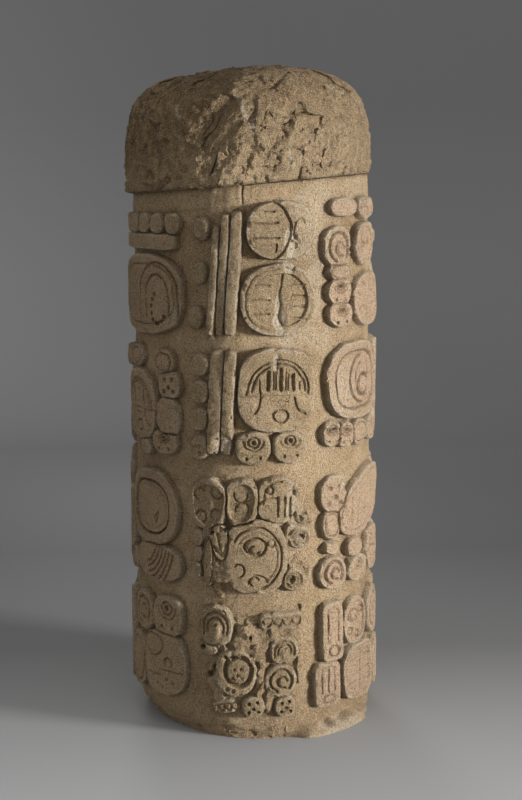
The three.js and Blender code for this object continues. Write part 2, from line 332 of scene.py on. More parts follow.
def rimmed_eye(w, h):
    """A sunk middle with a ringed boss and smaller rings below."""
    places = ((-0.2, -0.2), (0.1, -0.31), (0.27, 0.19))
    small = [ring(x * w, z * h, 0.085 * w, 0.07 * h, 5.5) for x, z in places]
    big = ring(-0.05 * w, 0.11 * h, 0.2 * w, 0.13 * h, 7)
    hook = arc(-0.08 * w, 0.08 * h, 0.1 * w, 0.07 * h, 200, 380, 5)
    return [sunk(0.1 * min(w, h), 5), big, hook, boss(-0.05 * w, 0.11 * h, 0.16 * w, 0.1 * h, 3), *small]


def quartered(w, h):
    """A sunk middle with four half rings that grow in from its rim."""
    places = ((-0.22, 0.2, 30), (0.2, 0.24, 130), (-0.2, -0.24, -60), (0.2, -0.22, 60))
    bows = [arc(x * w, z * h, 0.13 * w, 0.12 * h, a, a + 220, 5.5, 4.5) for x, z, a in places]
    return [sunk(0.12 * min(w, h), 4.5), *bows, boss(0, 0, 0.14 * w, 0.12 * h, 2.5)]


def knot(w, h):
    """A sunk middle with two crossing bows."""
    places = ((-0.03, 0.15, 160), (0.03, -0.15, -20))
    bows = [arc(x * w, z * h, 0.19 * w, 0.15 * h, a, a + 210, 5.5, 4.5) for x, z, a in places]
    return [sunk(0.13 * min(w, h), 4.5), *bows, stroke(-0.22 * w, -0.02 * h, 0.2 * w, 0.03 * h, 5, 4)]


def slotted(w, h):
    """Upright slots beside a small ring and a level bow."""
    slots = [stroke(x * w, -0.34 * h, x * w, 0.05 * h, 7, 6) for x in (0.0, 0.15, 0.29)]
    bows = [arc(-0.16 * w, -0.12 * h, 0.3 * w, 0.16 * h, 60, 160, 5.5)]
    bows.append(arc(0.06 * w, 0, 0.4 * w, 0.4 * h, 85, 190, 6))
    return [*bows, *slots, ring(-0.2 * w, 0.22 * h, 0.1 * w, 0.09 * h, 5.5)]


def nested(arches, holes=0, shift=0.0):
    """Arches one inside another, open below, with a curved row of drilled holes inside."""
    def marks(w, h):
        cx = shift * w
        bends = []
        for s in np.linspace(0.25, 0.15, arches):
            bends.append(arc(cx, 0.02 * h, s * w, 1.5 * s * h, 0, 180, 6.5, 5))
            legs = (cx - s * w, cx + s * w)
            bends += [stroke(x, 0.02 * h, x, -0.26 * h, 6.5, 4.5) for x in legs]
        turns = np.radians(np.linspace(120, 330, max(holes, 1)))[:holes]
        x, z = cx + 0.02 * w, -0.17 * h
        drilled = [pit(x + 0.09 * w * math.cos(t), z + 0.2 * h * math.sin(t), 5, 9) for t in turns]
        return [edge_line(0.13 * h, 5, 3.5), *bends, *drilled]
    return marks


def fan(blades):
    """Curved lines side by side that sweep down and out."""
    def marks(w, h):
        shares = np.linspace(0.36, 0.7, blades)
        return [arc(-0.3 * w, 0.7 * h, s * w, 1.15 * s * w, -75, -16, 5.5, 4.5) for s in shares]
    return marks


def scroll(w, h):
    """A hook that winds in to a boss."""
    outer = arc(0, 0, 0.33 * w, 0.35 * h, -40, 250, 8, 6)
    inner = arc(0.04 * w, -0.04 * h, 0.15 * w, 0.17 * h, 20, 300, 6.5)
    return [outer, inner, boss(0.03 * w, -0.03 * h, 0.12 * w, 0.12 * h, 3)]


def hooded(w, h):
    """A raised tongue under two hoods, with a small drilled hole."""
    hoods = [arc(0, -0.05 * h, s * w, 1.15 * s * h, -20, 200, 6, 4.5) for s in (0.24, 0.36)]
    return [*hoods, boss(0.02 * w, -0.12 * h, 0.13 * w, 0.22 * h, 4), pit(0.02 * w, 0.05 * h, 0.05 * w, 5)]


def channelled(w, h):
    """A pitted disc inside a deep round channel."""
    places = ((-0.02, 0.08), (0.12, 0.1), (0.04, -0.04), (0.15, -0.1), (-0.06, -0.1))
    dots = [pit(x * w, z * h, 0.035 * w + 1, 4) for x, z in places]
    boxes = [pit(x * w, z * h, 0.05 * w + 1, 5) for x, z in ((-0.2, -0.33), (-0.06, -0.37))]
    return [ring(0.06 * w, 0.05 * h, 0.3 * w, 0.31 * h, 12, 10), *boxes, *dots]


def holed(w, h):
    """A few drilled holes."""
    places = ((-0.18, 0.16), (0.16, 0.2), (0.02, -0.08), (-0.2, -0.24), (0.22, -0.22))
    return [pit(x * w, z * h, 0.06 * w + 1.6, 6.5) for x, z in places]


def banded(bands):
    """Lines along the lobe's height, with a ring near its foot."""
    def marks(w, h):
        lines = [stroke(x * w, -0.18 * h, x * w, 0.36 * h, 5, 4) for x in np.linspace(-0.24, 0.24, bands)]
        top = arc(0, 0.34 * h, 0.24 * w, 0.06 * h, 0, 180, 5, 4)
        return [*lines, top, ring(0.02 * w, -0.33 * h, 0.22 * w, 0.09 * h, 6)]
    return marks


def notched(w, h):
    """Half-round teeth side by side below a level line."""
    teeth = [arc(x * w, 0.08 * h, 0.1 * w, 0.36 * h, 180, 360, 5, 5) for x in (-0.33, -0.11, 0.11, 0.33)]
    return [*teeth, stroke(-0.44 * w, 0.2 * h, 0.44 * w, 0.22 * h, 5, 4)]


def veined(w, h):
    """Slanting veins across a broad leaf."""
    veins = [stroke(x * w, 0.26 * h, (x - 0.13) * w, -0.24 * h, 4.5, 3) for x in (-0.22, -0.1, 0.04, 0.18)]
    short = [stroke(x * w, -0.1 * h, (x + 0.09) * w, -0.16 * h, 4.5, 3.5) for x in (-0.3, -0.2, -0.1)]
    return [edge_line(0.1 * h, 5, 3.2), *veins, *short]


def budded(w, h):
    """A long inner outline with two holes at its top."""
    holes = [pit(s * 0.2 * w, 0.3 * h, 0.1 * w + 1, 6) for s in (-1, 1)]
    return [*holes, stroke(0, 0.2 * h, 0, -0.32 * h, 5, 4), arc(0, 0, 0.26 * w, 0.36 * h, 200, 340, 5, 4)]


def circled(w, h):
    """A thin ring high on one side, over level lines and a row of small holes."""
    lines = ((0, 0.42, -0.1), (-0.36, -0.02, -0.2))
    levels = [stroke(x0 * w, z * h, x1 * w, z * h, 4.5, 3.2) for x0, x1, z in lines]
    places = ((0.1, 0.06), (0.12, -0.24), (0.24, -0.28), (-0.1, -0.34), (0.02, -0.38))
    dots = [pit(x * w, z * h, 4, 5) for x, z in places]
    bow = arc(0.14 * w, 0.02 * h, 0.07 * w, 0.08 * h, -20, 210, 5)
    return [ring(-0.2 * w, 0.26 * h, 0.21 * w, 0.17 * h, 5, 4), bow, *levels, *dots]


def lobe(x, z, width, height, motif=bare, squareness=2.3, tilt=0.0, wear=0.0, rise=1.0):
    """One raised lobe, placed right and up from its block's centre. Tilt leans its top to the right.

    A rise below 1 makes it a fill that only lifts the ground between the others."""
    return {"x": x, "z": z, "width": width, "height": height, "marks": motif(width, height),
            "squareness": squareness, "tilt": tilt, "wear": wear, "rise": rise}


def spurs(rise, *places):
    """Worn fills between the lobes of a crowded block: right, up, width, height and tilt."""
    return [lobe(x, z, width, height, tilt=tilt, rise=rise) for x, z, width, height, tilt in places]


def bar(x, z, width, height, tilt=0.0, motif=bare, wear=0.0):
    """A lobe with nearly square corners."""
    return lobe(x, z, width, height, motif, 6.0, tilt, wear)


def beads(count, start, end, width, height, motif=bare, wear=0.0):
    """Equal lobes in a row, from one place to another."""
    places = zip(np.linspace(start[0], end[0], count), np.linspace(start[1], end[1], count))
    return [lobe(x, z, width, height, motif, wear=wear) for x, z in places]


# The blocks' designs: their lobes, each placed in millimetres from its block's centre
REEDS_AND_OVALS = (
    *beads(3, (-118, 88), (-136, -106), 36, 50, wear=0.5),
    bar(-91, -24, 18, 238, 4.3),
    bar(-70, -11, 20, 262, 4.3),
    bar(-45, -8, 27, 268, 4.3),
    lobe(63, 83, 158, 127, crescent),
    lobe(56, -67, 172, 158, leaf(3, 4)),
)

REEDS_AND_SHIELD = (
    *beads(4, (-124, 92), (-128, -90), 46, 50, wear=0.3),
    bar(-90, 10, 33, 226, 3.6),
    bar(-60, 10, 28, 226, 3.6),
    lobe(51, 35, 178, 184, comb(4), 2.9),
    *beads(2, (-6, -91), (78, -90), 80, 72, eyelet, 0.3),
)

DISCS_OVER_SHIELD = (
    lobe(-107, 64, 92, 114, quartered, wear=0.2),
    lobe(-33, 72, 80, 106, knot),
    lobe(50, 75, 98, 102, slotted, wear=0.3),
    lobe(0, -48, 142, 162, browed, 2.6),
    lobe(-82, -16, 50, 84, budded, 1.9, -10),
    lobe(-108, -62, 32, 112, lined, tilt=4),
    *beads(3, (-134, -12), (-132, -84), 24, 34),
    *beads(2, (100, -12), (84, -104), 54, 50, scroll, wear=0.75),
    *spurs(0.93, (-74, -82, 62, 58, 0)),
    *spurs(0.6, (96, -46, 62, 150, -10), (-92, -112, 70, 26, 70), (112, 26, 34, 60, -20),
           (-100, -20, 60, 120, 0)),
)

SCROLL_CLUSTER = (
    lobe(-94, 80, 82, 90, hooded, wear=0.15),
    lobe(-114, 28, 52, 26, tilt=8, wear=0.3),
    bar(56, 92, 98, 34, motif=notched, wear=0.5),
    lobe(-48, -22, 96, 104, channelled, 2.1, wear=0.3),
    lobe(62, 26, 68, 58, hooded, wear=0.25),
    lobe(54, -40, 74, 74, scroll, 2.1, wear=0.2),
    lobe(-72, -98, 70, 34, notched, tilt=-14, wear=0.3),
    *beads(2, (-9, -98), (64, -98), 50, 50, holed, wear=0.2),
    *spurs(0.3, (-2, -6, 216, 226, 0)),
    *spurs(0.68, (-14, 44, 84, 92, 20), (8, -24, 26, 120, 4), (-92, -62, 36, 90, -20),
           (50, 62, 110, 44, 0), (-74, 24, 70, 26, 60), (98, -10, 22, 90, 0), (26, -84, 26, 60, 10),
           (-108, -24, 22, 60, 12)),
)

STRIP_AND_OVAL = (
    lobe(-74, 130, 92, 42),
    lobe(-96, 43, 86, 92, scroll),
    lobe(-88, -12, 74, 42, lined),
    *beads(2, (-92, -56), (-88, -106), 76, 58, eyelet),
    lobe(24, 128, 102, 50, slotted),
    lobe(16, 48, 104, 98, knot),
    lobe(34, -80, 152, 120, quartered),
)

GREAT_SHIELD = (
    lobe(-22, 42, 222, 176, hemmed, 2.7),
    *beads(2, (-116, -72), (-74, -76), 56, 56, eyelet),
    lobe(-16, -78, 74, 58, lined),
    lobe(50, -76, 62, 60, eyelet),
    bar(114, 12, 46, 220, motif=banded(2)),
)

STRIP_AND_LEAF = (
    lobe(-112, 74, 80, 84, holed, wear=0.2),
    lobe(-122, 6, 54, 66, lined),
    lobe(-122, -46, 38, 26),
    lobe(-116, -102, 84, 72, scroll),
    lobe(6, 44, 230, 132, veined, 2.0, -22),
    lobe(-44, -56, 60, 40),
    lobe(-34, -106, 84, 58, eyelet),
    lobe(58, -76, 92, 104, slotted),
)

PILLAR_AND_DISCS = (
    bar(-120, 52, 62, 132, motif=banded(2)),
    bar(-134, -66, 72, 100, motif=banded(3), wear=0.2),
    lobe(-42, 60, 88, 106, rimmed_eye),
    lobe(-24, -58, 132, 122, leaf(2, 3), 4.0),
    lobe(60, 62, 96, 108, scroll),
    lobe(88, -66, 74, 116, lined, 3.0),
)

BEADED_BAR = (
    *beads(5, (110, 98), (-84, 98), 40, 46),
    bar(-10, 57, 262, 36),
    lobe(10, -60, 254, 180, nested(2, 9, 0.2), 2.7),
)

OVAL_AND_STACK = (
    lobe(-26, -14, 156, 160, comb(3), 2.6),
    lobe(80, 90, 64, 56, lined),
    lobe(97, 42, 66, 62, holed),
    lobe(90, -30, 74, 92, bare, wear=0.4),
    lobe(80, -86, 78, 54, eyelet),
    *beads(2, (-32, 96), (-90, 92), 58, 50, lined),
    lobe(8, -106, 44, 36),
)

RING_OVER_FAN = (
    lobe(20, 38, 198, 172, rimmed),
    lobe(44, -82, 164, 84, fan(6), 2.6),
    bar(-100, -20, 58, 170, motif=banded(2)),
    lobe(-66, -98, 52, 52, lined),
)

BOULDERS = (
    lobe(82, 84, 94, 88, eyelet, 3.0),
    lobe(-10, 80, 84, 92, scroll),
    lobe(64, -26, 146, 146, circled, 2.6),
    lobe(-44, -42, 94, 128, lined),
    bar(-116, 0, 50, 214, motif=banded(2)),
)

# The designs in each column of blocks, from the top row down, going round from the front. The three
# columns that face the back repeat the front's designs more plainly.
COLUMNS = (
    ((REEDS_AND_OVALS, REEDS_AND_SHIELD, DISCS_OVER_SHIELD, SCROLL_CLUSTER), False),
    ((STRIP_AND_OVAL, GREAT_SHIELD, STRIP_AND_LEAF, PILLAR_AND_DISCS), False),
    ((BEADED_BAR, DISCS_OVER_SHIELD, GREAT_SHIELD, OVAL_AND_STACK), True),
    ((REEDS_AND_SHIELD, PILLAR_AND_DISCS, RING_OVER_FAN, BOULDERS), True),
    ((STRIP_AND_OVAL, BEADED_BAR, REEDS_AND_OVALS, RING_OVER_FAN), True),
    ((BEADED_BAR, OVAL_AND_STACK, RING_OVER_FAN, BOULDERS), False),
)

# Broken and battered places: angle, height, reach across and up in millimetres, depth and paleness
BREAKS = (
    (17, 1100, 13, 42, 2, 1.0),
    (23, 1108, 26, 46, 2, 0.3),
    (25, 1095, 44, 60, 0, 0.2),
    (12, 936, 12, 42, 2, 0.9),
    (17, 1048, 14, 16, 3, 0.8),
    (10.5, 842, 10, 20, 3, 1.0),
    (-14, 657, 24, 20, 4, 0.6),
    (-24, 664, 22, 24, 4, 0.35),
    (18, 530, 20, 44, 6, 0.6),
    (-37, 945, 18, 42, 2, 0.45),
    (-37, 712, 12, 34, 2, 0.45),
    (45, 556, 12, 18, 4, 0.8),
    (16, 880, 18, 22, 1, 0.5),
    (30, 1165, 60, 70, 0, 0.45),
    (31, 1010, 26, 90, 0, 0.5),
    (28, 886, 80, 34, 0, 0.35),
    (60, 1205, 90, 40, 0, 0.3),
    (44, 770, 36, 70, 0, 0.4),
    (48, 66, 10, 12, 2, 0.8),
    (48, 230, 10, 12, 1, 0.7),
    (20, 470, 34, 60, 0, 0.2),
    (150, 620, 50, 90, 8, 0.7),
    (205, 1010, 40, 60, 7, 0.6),
    (262, 330, 50, 60, 6, 0.6),
)

# Scoops broken out of the cap: angle, height, reach round in degrees, reach up, depth
CAP_SPALLS = (
    (-16, 1338, 20, 62, 8),
    (6, 1262, 13, 44, 9),
    (-62, 1330, 17, 60, 7),
    (128, 1310, 26, 70, 12),
    (214, 1360, 24, 55, 10),
)

# Valleys where the cap has broken away: from angle and height to angle and height, width and depth
CAP_VALLEYS = (
    (-8, 1400, -27, 1300, 58, 9),
    (-30, 1330, -46, 1250, 40, 5),
    (26, 1392, 12, 1318, 36, 6),
    (2, 1300, -1, 1262, 34, 8),
    (140, 1400, 118, 1280, 60, 10),
    (250, 1380, 236, 1290, 50, 9),
)

# Pale scratches on the cap: from angle and height to angle and height, and width
SCRATCHES = (
    (-8, 1426, -3.5, 1392, 6),
    (-3.5, 1392, 1, 1345, 10),
    (45, 1440, 52, 1424, 7),
    (17, 1300, 20, 1262, 6),
    (-36, 1395, -33, 1370, 8),
)

# Cracks: from angle and height to angle and height, width and depth
CRACKS = (
    (-16.4, 1243, -13.2, 1290, 5, 14),
    (-3.6, 1236, -4.4, 1182, 5, 5),
    (24, 1226, 24.6, 1262, 4, 6),
    (171, 1180, 176, 930, 4, 6),
)

# Drilled holes in the ground and the fills: angle, height, radius and depth
HOLES = (
    (-20.4, 148, 8, 14),
    (-23.4, 208, 6.5, 10),
    (-12.6, 189, 4.5, 8),
    (-2.2, 232, 5, 7),
    (20.5, 292, 9, 6),
    (21.3, 455, 9, 6),
    (16.4, 361, 9, 6),
    (-18.4, 464, 4.5, 9),
    (-12.6, 472, 4.5, 9),
)


def length(name, description, default):
    """A size in metres, shown in the panel."""
    return bpy.props.FloatProperty(name=name, description=description, unit="LENGTH", default=default)


def paint(name, description, default):
    """A colour, shown in the panel."""
    return bpy.props.FloatVectorProperty(
        name=name, description=description, subtype="COLOR", size=4, default=default)


class ColumnSizes(bpy.types.PropertyGroup):
    """The sizes of the stone, in metres."""

    height: length("Height", "From the underside to the crown", cad_height)
    shaft_radius: length("Shaft radius", "Of the dressed ground between the blocks", 0.273)
    relief_depth: length("Relief depth", "How far the blocks stand out", 0.018)
    wall_run: length("Wall run", "How far a lobe's rounded edge runs in", 0.0026)
    foot_round_height: length("Foot height", "Where the rounding of the foot ends", 0.034)
    foot_round_depth: length("Foot rounding", "How far the foot is drawn in", 0.007)
    foot_break_depth: length("Foot break", "How far the break goes in on the left", 0.026)
    cap_overhang: length("Cap overhang", "How far the cap stands out", 0.017)
    cap_edge_height: length("Cap edge", "Height of the cap's lower edge", 1.224)
    cap_edge_slant: length("Cap slant", "How far the edge climbs to the right", 0.021)
    cap_shift: length("Cap shift", "How far the cap sits to the right", -0.007)


class StoneColours(bpy.types.PropertyGroup):
    """The colours of the limestone. Some also paint light and shade: grime with painted shade in the
    hollows, brown with painted shade on the cap's upper left, light buff as painted light on the cap's lower
    right, and ochre and fresh-break colours as painted highlights on crests and edges.
    """

    buff: paint("Buff", "Most of the dressed stone", (0.56, 0.376, 0.2, 1))
    # Also painted light on the cap's lower right.
    light: paint("Light buff", "The paler mottling", (0.74, 0.535, 0.315, 1))
    # Also painted shade on the cap's upper left.
    brown: paint("Brown patina", "Stains, mostly on the cap", (0.29, 0.19, 0.1, 1))
    patina: paint("Olive patina", "On the faces of the blocks in front", (0.34, 0.25, 0.135, 1))
    # Also a painted highlight on the cap's crests.
    ochre: paint("Ochre", "Yellow grains in the cap", (0.62, 0.42, 0.19, 1))
    pink: paint("Pink", "The faces of some blocks", (0.79, 0.54, 0.38, 1))
    # Also a painted highlight along the lobes' edges.
    pale: paint("Fresh break", "Chipped and broken stone", (0.8, 0.665, 0.48, 1))
    # Painted shade in the hollows, with some grime, and the colour of the pores.
    dirt_and_shade: paint("Dirt and shade", "In the hollows", (0.1, 0.06, 0.027, 1))


def lobe_distance(px, pz, piece):
    """How far inside a lobe's edge a place is: the superellipse's value over the length of its slope."""
    tilt = math.radians(piece["tilt"])
    across = px * math.cos(tilt) - pz * math.sin(tilt)
    up = pz * math.cos(tilt) + px * math.sin(tilt)
    a, b, n = piece["width"] / 2, piece["height"] / 2, piece["squareness"]
    sx, sz = np.abs(across) / a + 1e-6, np.abs(up) / b + 1e-6
    value = (sx**n + sz**n) ** (1 / n)
    slope = value ** (1 - n) * np.hypot(sx ** (n - 1) / a, sz ** (n - 1) / b)
    inside = (1 - value) / np.maximum(slope, 1 / max(a, b))
    return np.minimum(inside, min(a, b)), across, up


def placed_lobes():
    """Every lobe with the angle and the height of its block's centre."""
    found = []
    for column, (designs, plain) in enumerate(COLUMNS):
        angle = FIRST_COLUMN_ANGLE + column * 360 / BLOCK_COLUMNS
        for row, design in enumerate(designs):
            for piece in design:
                if not plain or piece["width"] * piece["height"] > PLAIN_SMALLEST_AREA:
                    found.append((angle, ROW_HEIGHTS[row], plain, piece))
    return found


def carve(angle, z, sizes):
    """How the shaft is carved at each angle and height.

    Returns how far the stone stands out from the dressed ground, and from 0 to 1 how much each place
    is a hollow, an edge, a fresh break, a block's face and bleached. A place belongs to the lobe whose
    edge it is deepest inside. Its height rises over the wall's run to the face, less that lobe's
    marks, and a crease runs wherever two lobes are as deep as each other.
    """
    depth = sizes.relief_depth * MM
    run = sizes.wall_run * MM
    face_radius = (sizes.shaft_radius + sizes.relief_depth) * MM
    mm_per_degree = math.radians(1) * face_radius
    points = around(face_radius, angle, z)
    waver = 2.4 * noise(points, 42, 11) + 1.2 * noise(points, 15, 12)
    sway = 2.4 * noise(points, 42, 21) + 1.2 * noise(points, 15, 22)

    inside, second = (np.full(angle.shape, -60.0) for _ in range(2))
    cut, line_cut, wear, swell, under, bleached = (np.zeros(angle.shape) for _ in range(6))
    chance = np.random.default_rng(5)
    for centre_angle, centre_z, plain, piece in placed_lobes():
        reach = 0.5 * math.hypot(piece["width"], piece["height"]) + 14
        high, lean_x, lean_z = chance.uniform((-2.2, -0.035, -0.03), (0.8, 0.035, 0.03))
        px = angle_apart(angle, centre_angle) * mm_per_degree - piece["x"]
        pz = z - centre_z - piece["z"]
        near = np.nonzero((np.abs(px) < reach) & (np.abs(pz) < reach))
        loose = 0.35 if piece["squareness"] > 5 else 1.0
        d, across, up = lobe_distance(px[near] + loose * waver[near], pz[near] + loose * sway[near], piece)
        if piece["rise"] < 1:
            under[near] = np.maximum(under[near], depth * piece["rise"] * smooth((d + 2) / 9))
            continue
        own = d > inside[near]
        second[near] = np.where(own, inside[near], np.maximum(second[near], d))
        depths = {kind: np.zeros(d.shape) for kind in GATHER}
        for kind, mark in piece["marks"]:
            depths[kind] = GATHER[kind](depths[kind], mark(across, up, d))
        cuts = sum(depths.values()) * (1 - 0.55 * piece["wear"]) * (0.75 if plain else 1.0)
        tilted = high + np.clip(lean_x * px[near] + lean_z * pz[near], -2.5, 2.5)
        kept = ((cut, cuts), (line_cut, depths["line"]), (wear, piece["wear"]), (swell, tilted), (inside, d))
        for values, found in kept:
            values[near] = np.where(own, found, values[near])

    run_here = run * (1 + 1.5 * wear)
    rise = np.clip((inside + 1.5) / (run_here + 1.5), 0, 1)
    profile = 1 - (1 - rise) ** 2.5
    face = smooth((inside + 0.5) / 3)
    arris = 1.2 * np.exp(-np.clip(inside, 0, 200) / 3.2)
    crease = np.clip(1 - (inside - second) / 6, 0, 1) * smooth((second + 3) / 4)
    height = np.maximum(depth * profile * (1 - 0.2 * wear) + profile * (swell - arris), 0)
    height = height - cut * face - crease * np.minimum(9.0, 0.6 * height)
    pitted = np.clip(layered_noise(points, 15, 31) - 0.1, 0, 2)
    height = height - wear * face * 7 * pitted
    bites = smooth((noise(points, 17, 33) + 0.5 * noise(points, 7, 34) - 0.45) / 0.25)
    arris_band = np.exp(-(((inside - 1.5) / 4.5) ** 2))
    height = height - bites * arris_band * 4.5

    filled = np.nonzero(under > 0)
    lumps = layered_noise(points[filled], 15, 57, 3)
    rubble = under[filled] + 3.2 * lumps + 3 * facets(points[filled], 24, 58)
    height[filled] = np.maximum(height[filled], smooth(under[filled] / 6) * rubble)

    broken = 0.35 * bites * arris_band
    for spot_angle, spot_z, across, up, deep, pale in BREAKS:
        px = angle_apart(angle, spot_angle) * mm_per_degree
        share = np.hypot(px / across, (z - spot_z) / up) + 0.45 * layered_noise(points, 30, 41, 2)
        if deep:
            inner = smooth((1.15 - share) / 0.4)
            chipped = np.nonzero(inner > 0.01)
            chips = np.clip(0.5 + facets(points[chipped], 12, 45), 0, 1.4) + 0.4 * pitted[chipped]
            cut_in = inner[chipped] * (0.5 * deep + (1 + 0.5 * deep) * chips)
            height[chipped] = height[chipped] - np.clip(cut_in, 0, np.maximum(height[chipped], 1.0))
            broken = np.maximum(broken, pale * inner)
        else:
            bleached = np.maximum(bleached, pale * smooth((1.25 - share) / 0.8))

    ground = 1 - smooth((inside + 2) / 3)
    height = height + ground * (1.3 * noise(points, 60, 51) + 0.8 * layered_noise(points, 12, 52, 2))
    height = height + face * (0.8 * noise(points, 28, 53) + 0.6 * layered_noise(points, 9, 54, 2))
    under_cap = smooth((z - 1150) / 12)
    dragged = noise(points * STREAKED, 7, 55)
    height = height + under_cap * ground * 0.7 * dragged
    # Painted shade, partly grime: the hollow share darkens the roots of the lobes' walls, the creases
    # between lobes, the cut lines (more so away from the front) and the low parts of the fills.
    root = np.exp(-(((inside + 2.5) / 3.5) ** 2)) * (1 - wear * 0.4)
    grooves = np.clip(line_cut / STROKE_DEPTH - 0.25, 0, 1.2)
    groove_shade = 0.5 + 0.4 * smooth((np.abs(angle_apart(angle, 2)) - 20) / 12)
    hollow = np.clip(0.45 * root + groove_shade * grooves * face + 0.6 * crease, 0, 1)
    hollow[filled] = np.maximum(hollow[filled], ground[filled] * smooth((-0.15 - lumps) / 0.4) * 0.8)
    # The edge share paints a pale line along each lobe's edge: partly a worn arris, partly a painted
    # highlight.
    edge = np.exp(-(((inside - 1.5) / 2.2) ** 2)) * (1 - np.clip(cut, 0, 1))
    return height, hollow, edge, broken, face, bleached


def apart_from_line(angle, z, line, mm_per_degree, waver):
    """The distance from a line between two places on the surface, and the share along it."""
    angle0, z0, angle1, z1 = line
    px = angle_apart(angle, angle0) * mm_per_degree + waver
    along = (angle_apart(angle1, angle0) * mm_per_degree, z1 - z0)
    share = np.clip((px * along[0] + (z - z0) * along[1]) / (along[0] ** 2 + along[1] ** 2), 0, 1)
    return np.hypot(px - share * along[0], z - z0 - share * along[1]), share


def crack_depth(angle, z, face_radius):
    """How deep the cracks and the drilled holes go. A crack is a narrow groove along a wavering line."""
    mm_per_degree = math.radians(1) * face_radius
    points = around(face_radius, angle, z)
    waver = 3 * noise(points, 18, 61)
    deepest = np.zeros(angle.shape)
    for *line, width, depth in CRACKS:
        away, share = apart_from_line(angle, z, line, mm_per_degree, waver)
        taper = 0.35 + 0.65 * np.sin(np.pi * share)
        deepest = np.maximum(deepest, depth * taper * np.clip(1 - away / (width / 2), 0, 1))
    for hole_angle, hole_z, radius, depth in HOLES:
        px = angle_apart(angle, hole_angle) * mm_per_degree
        away = np.hypot(px + 0.5 * waver, z - hole_z + 0.3 * waver)
        deepest = np.maximum(deepest, depth * np.clip(1 - (away / radius) ** 2.5, 0, 1) ** 0.6)
    return deepest


def grid_angles():
    """The angles of the grid's upright lines, closer together on the side that is seen first."""
    front = np.arange(-FRONT_REACH, FRONT_REACH, FRONT_STEP / FACE_MM_PER_DEGREE)
    back = np.arange(FRONT_REACH, 360 - FRONT_REACH, BACK_STEP / FACE_MM_PER_DEGREE)
    return np.concatenate([front, back])


def dome_profile(count):
    """Shares of the cap's radius and of its height, from its lower edge to near its crown.

    A short wall, and then a superellipse whose two powers give the square shoulder and flat top.
    """
    wall_share, lean = 0.3, 0.008
    turn = np.radians(np.linspace(0, 88.5, count))
    inward = 1 - np.cos(turn) ** (2 / 3.1)
    up = np.sin(turn) ** (2 / 2.8)
    radius = 1 - lean - (1 - lean) * inward
    return radius, wall_share + (1 - wall_share) * up


def column_surface(sizes):
    """The whole surface as a grid of points in millimetres, one row for each step up the profile."""
    angles = grid_angles()
    shaft = sizes.shaft_radius * MM
    height = sizes.height * MM
    edge = sizes.cap_edge_height * MM + sizes.cap_edge_slant * MM * np.sin(np.radians(angles))
    broken = nearness(angles, *FOOT_BREAK)
    foot_top = sizes.foot_round_height * MM * (1 + 0.9 * broken)

    foot_share = np.linspace(0, 1, FOOT_ROWS)[:-1, None]
    foot_z = foot_share * foot_top
    drawn = (1 - foot_share) ** 2 * (sizes.foot_round_depth + sizes.foot_break_depth * broken) * MM
    foot_r = shaft - drawn

    rows = round((sizes.cap_edge_height * MM - 34) / FRONT_STEP)
    shaft_share = np.linspace(0, 1, rows)[:, None]
    shaft_z = foot_top + (edge - foot_top) * shaft_share
    shaft_r = np.full(shaft_z.shape, shaft)

    step_share = np.linspace(0, 1, STEP_ROWS)[1:, None]
    cap = (sizes.shaft_radius + sizes.cap_overhang) * MM
    lip = 8.0
    step_r = shaft + (cap - shaft) * np.sin(step_share * np.pi / 2) + 0 * edge
    step_z = edge + lip * (1 - np.cos(step_share * np.pi / 2))

    radius_share, up_share = dome_profile(DOME_ROWS)
    across = np.sin(np.radians(angles)) * radius_share[:, None]
    crown_rise = height - 5 * (1 - 0.6 * across) - 11 * np.exp(-(((across + 0.4) / 0.26) ** 2))
    wall_share = np.linspace(0, 1, WALL_ROWS)[1:-1, None]
    dome_z = edge + (crown_rise - edge) * up_share[:, None]
    dome_r = cap * radius_share[:, None] + 0 * edge
    wall_z = step_z[-1] + (dome_z[0] - step_z[-1]) * wall_share
    wall_r = step_r[-1] + (dome_r[0] - step_r[-1]) * wall_share

    z = np.concatenate([foot_z, shaft_z, step_z, wall_z, dome_z])
    radius = np.concatenate([foot_r, shaft_r, step_r, wall_r, dome_r])
    angle = np.broadcast_to(angles, z.shape)
    on_cap = np.zeros(z.shape)
    on_cap[len(foot_z) + len(shaft_z):] = 1
    return angle, radius, z, on_cap, edge


